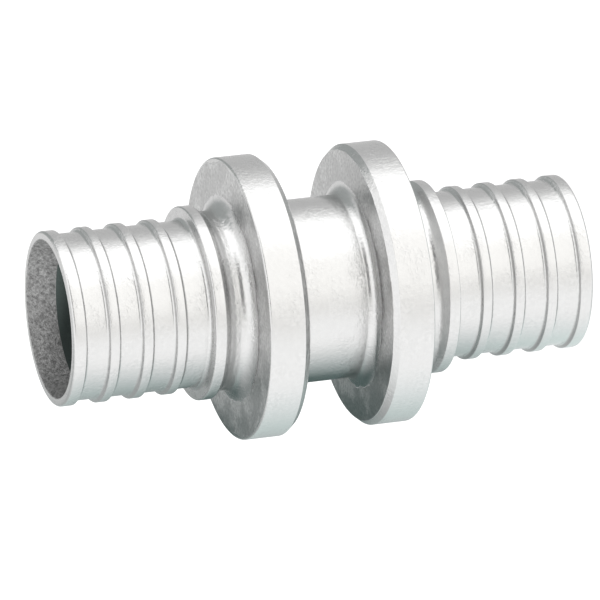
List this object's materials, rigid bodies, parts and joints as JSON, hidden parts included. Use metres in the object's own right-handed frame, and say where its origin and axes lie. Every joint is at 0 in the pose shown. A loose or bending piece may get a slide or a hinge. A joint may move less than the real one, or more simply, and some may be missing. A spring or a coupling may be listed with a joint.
{
  "type": "pex coupling",
  "caption": "Straight pipe coupling in satin metal: barbed spigots, stop rings and thick collars either side of a plain waist, bored through.",
  "frame": {"origin": "centre of the lower end face, on the flow axis, level with what the coupling stands on", "axes": "+Z along the flow axis, up through the bore; X and Y across it"},
  "size_m": [0.0408, 0.0408, 0.078],
  "materials": {
    "fitting_metal": "satin silver metal, fine-turned on the spigots and rims, grainy as cast on the collar faces and inside the mouths"
  },
  "bodies": {
    "root": {"coupling": "fitting_metal"}
  },
  "joints": []
}
